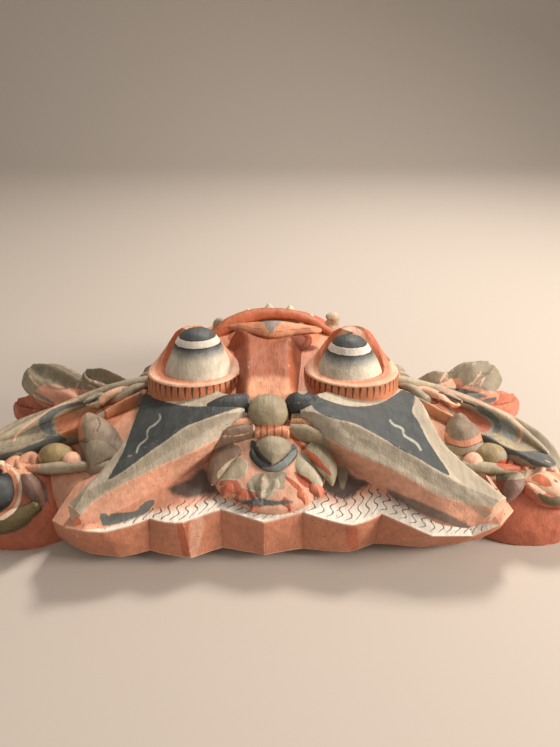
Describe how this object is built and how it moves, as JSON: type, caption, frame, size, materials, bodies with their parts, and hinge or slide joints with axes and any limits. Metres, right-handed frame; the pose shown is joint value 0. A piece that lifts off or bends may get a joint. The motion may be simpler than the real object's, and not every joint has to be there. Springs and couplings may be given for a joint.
{
  "type": "barong mask",
  "caption": "Carved and painted wooden mask of a mythic beast, face up, with a scalloped crown, raised brow wings, domed eyes, pointed ears and an open fanged mouth.",
  "frame": {"origin": "below the middle of the mask's box, on the flat rim of the hollow back", "axes": "+X to the right as seen from the crown, +Y from the crown to the chin, +Z out of the face"},
  "size_m": [0.4336, 0.2792, 0.1141],
  "materials": {
    "painted_wood": "matt hand-brushed paint in salmon orange, khaki, slate grey and cream over carved wood, worn at the edges"
  },
  "bodies": {
    "root": {"mask": "painted_wood"}
  },
  "joints": []
}
